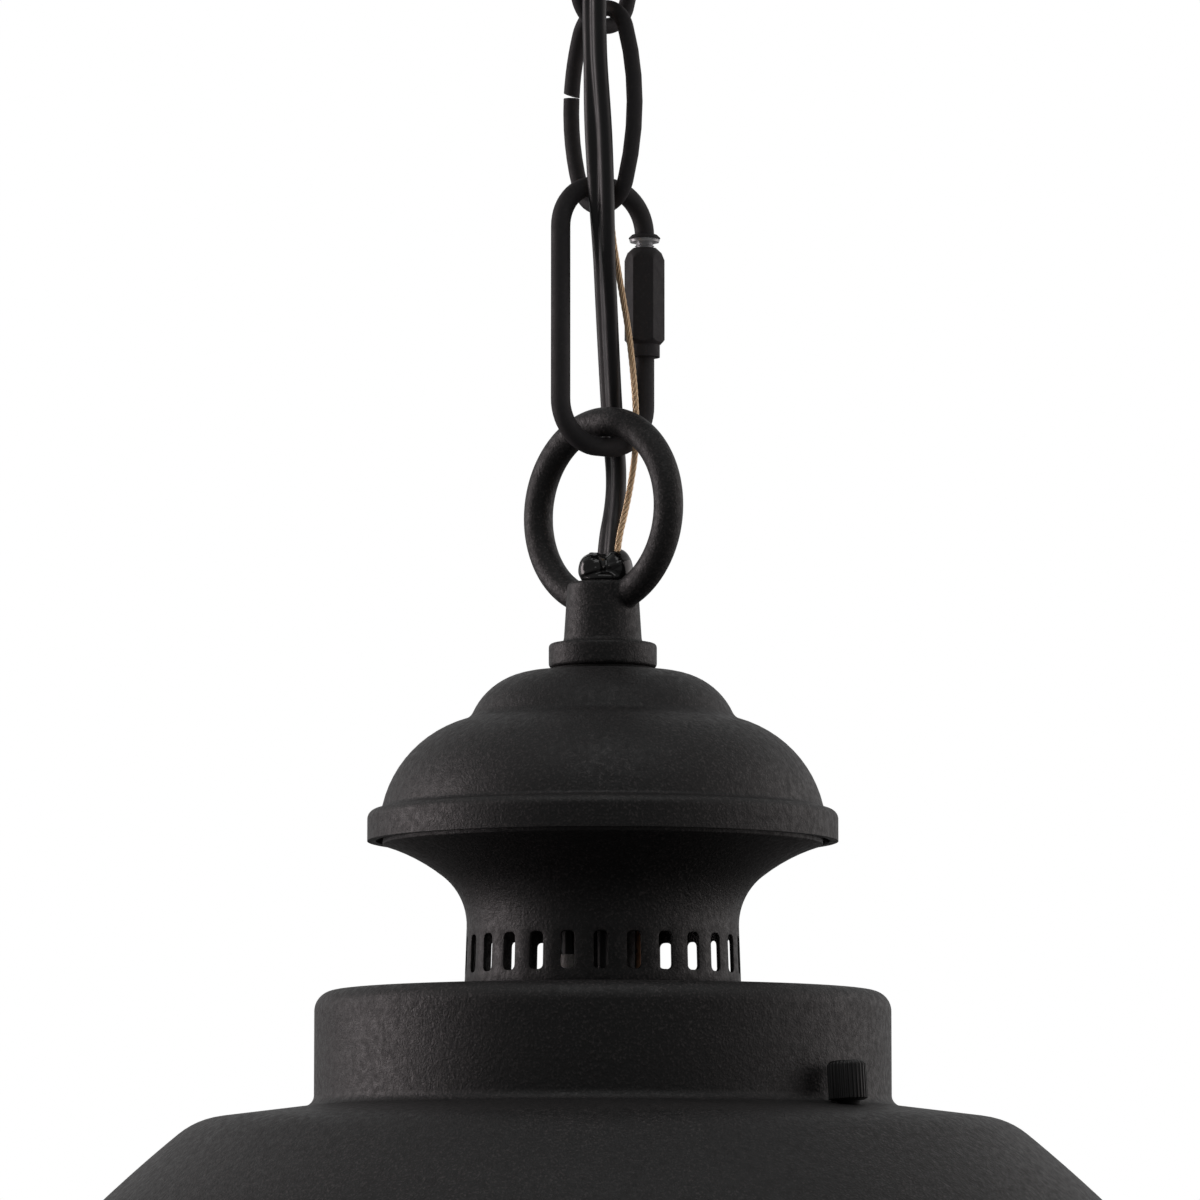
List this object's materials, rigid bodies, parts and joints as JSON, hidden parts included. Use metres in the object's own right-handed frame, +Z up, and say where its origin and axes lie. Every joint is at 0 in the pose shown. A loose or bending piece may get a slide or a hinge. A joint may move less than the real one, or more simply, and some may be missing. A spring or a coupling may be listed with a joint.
{
  "type": "outdoor pendant light",
  "caption": "Hanging outdoor lamp: wide domed metal shade with a vented neck and dome cap, on a ring, quick link, chain and ceiling canopy.",
  "frame": {"origin": "middle of the ceiling plane, on the top edge of the canopy", "axes": "+Z up out of the ceiling face; -Y faces the viewer of the picture; +X to the viewer's right"},
  "size_m": [0.3042, 0.3042, 0.3891],
  "materials": {
    "black_coat": "fine textured powder coat",
    "chain_black": "satin black paint",
    "steel": "zinc plated",
    "green_screw": "green paint",
    "sealant": "gloss bead",
    "rubber": "matt",
    "knob_black": "black oxide, knurled",
    "porcelain": "glazed porcelain",
    "brass": "bright",
    "cord_black": "gloss cord jacket",
    "copper": "bare stranded copper",
    "fibreglass": "woven sleeve"
  },
  "bodies": {
    "ceiling": {"canopy": "black_coat", "crossbar": "steel", "canopy_stem": "steel", "canopy_locknut": "steel", "ceiling_ground_screw": "green_screw", "canopy_loop": "black_coat", "supply_cord": "cord_black", "ground_wire": "copper"},
    "upper_link": {"chain_link_upper": "chain_black"},
    "lower_link": {"chain_link_lower": "chain_black"},
    "quick_link": {"quick_link": "chain_black"},
    "sleeve_nut": {"quick_link_nut": "chain_black"},
    "lamp": {"hanger_loop": "black_coat", "wire_seal": "sealant", "cap_gasket": "rubber", "dome_cap": "black_coat", "vent_gallery": "black_coat", "gallery_gasket": "rubber", "shade": "black_coat", "stem": "steel", "stem_spacer": "black_coat", "stem_washer": "steel", "stem_nut": "steel", "carrier_bar": "steel", "carrier_studs": "knob_black", "socket_cap": "steel", "socket_body": "porcelain", "socket_shell": "brass", "socket_contact": "brass", "socket_screw": "steel", "carrier_ground_screw": "green_screw", "lead_neutral": "cord_black", "lead_live": "cord_black", "ground_lead": "copper", "lead_sleeve": "fibreglass"},
    "thumb_nut_right": {"thumb_nut_right": "knob_black"},
    "thumb_nut_left": {"thumb_nut_left": "knob_black"}
  },
  "joints": [
    {"name": "upper_link_swing", "type": "hinge", "parent": "ceiling", "child": "upper_link", "pos_m": [0, 0, -0.0514], "axis": [0.6947, -0.7193, 0], "range_deg": [-20, 20], "deforming": ["supply_cord", "ground_wire"]},
    {"name": "lower_link_swing", "type": "hinge", "parent": "upper_link", "child": "lower_link", "pos_m": [0, 0, -0.08355], "axis": [0.7193, 0.6947, 0], "range_deg": [-20, 20], "deforming": ["supply_cord", "ground_wire"]},
    {"name": "quick_link_swing", "type": "hinge", "parent": "lower_link", "child": "quick_link", "pos_m": [0, 0, -0.11645], "axis": [0.6947, -0.7193, 0], "range_deg": [-20, 20], "deforming": ["supply_cord", "ground_wire"]},
    {"name": "lamp_swing", "type": "hinge", "parent": "quick_link", "child": "lamp", "pos_m": [0, 0, -0.15995], "axis": [0.809, 0.5878, 0], "range_deg": [-20, 20], "deforming": ["supply_cord", "ground_wire"]},
    {"name": "sleeve_nut_travel", "type": "slide", "parent": "quick_link", "child": "sleeve_nut", "axis": [0, 0, 1], "range_m": [-0.008, 0.0008]},
    {"name": "thumb_nut_right_turn", "type": "hinge", "parent": "lamp", "child": "thumb_nut_right", "pos_m": [0.04209, -0.03659, -0.27802], "axis": [-0.0526, 0.0458, 0.9976], "continuous": true},
    {"name": "thumb_nut_left_turn", "type": "hinge", "parent": "lamp", "child": "thumb_nut_left", "pos_m": [-0.04209, 0.03659, -0.27802], "axis": [0.0526, -0.0458, 0.9976], "continuous": true}
  ]
}
